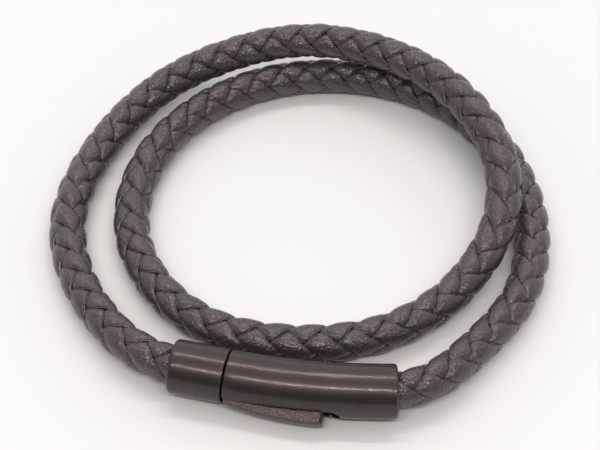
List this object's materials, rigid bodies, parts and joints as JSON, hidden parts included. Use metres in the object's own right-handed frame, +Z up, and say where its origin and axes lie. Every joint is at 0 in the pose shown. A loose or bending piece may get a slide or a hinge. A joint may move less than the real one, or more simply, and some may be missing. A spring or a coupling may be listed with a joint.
{
  "type": "braided leather bracelet",
  "caption": "Round braided leather cord that goes twice round the wrist, joined by a curved steel tube clasp with a press lever.",
  "frame": {"origin": "on the surface that the bracelet lies on, under the middle of its box", "axes": "+Z up, away from the surface; +Y from the clasp's side towards the far side of the loops; +X to the right as seen from the clasp's side"},
  "size_m": [0.0792, 0.0777, 0.0127],
  "materials": {
    "leather": "grey-brown leather strips with a fine grain and a faint metallic bloom",
    "gunmetal": "brown gunmetal coating, brushed round the tube, satin",
    "pin_steel": "plain bright pin"
  },
  "bodies": {
    "bracelet": {"strand_right_1": "leather", "strand_right_2": "leather", "strand_right_3": "leather", "strand_right_4": "leather", "strand_left_1": "leather", "strand_left_2": "leather", "strand_left_3": "leather", "strand_left_4": "leather", "end_cap": "gunmetal", "barrel": "gunmetal", "pivot_pin": "pin_steel"},
    "lever": {"lever": "gunmetal"}
  },
  "joints": [
    {"name": "lever_press", "type": "hinge", "parent": "bracelet", "child": "lever", "pos_m": [-0.00543, -0.03464, 0.00291], "axis": [-0.0605, -0.4035, 0.913], "range_deg": [0, 5], "stiffness_Nm_per_rad": 0.05, "springref_deg": -2.86}
  ]
}
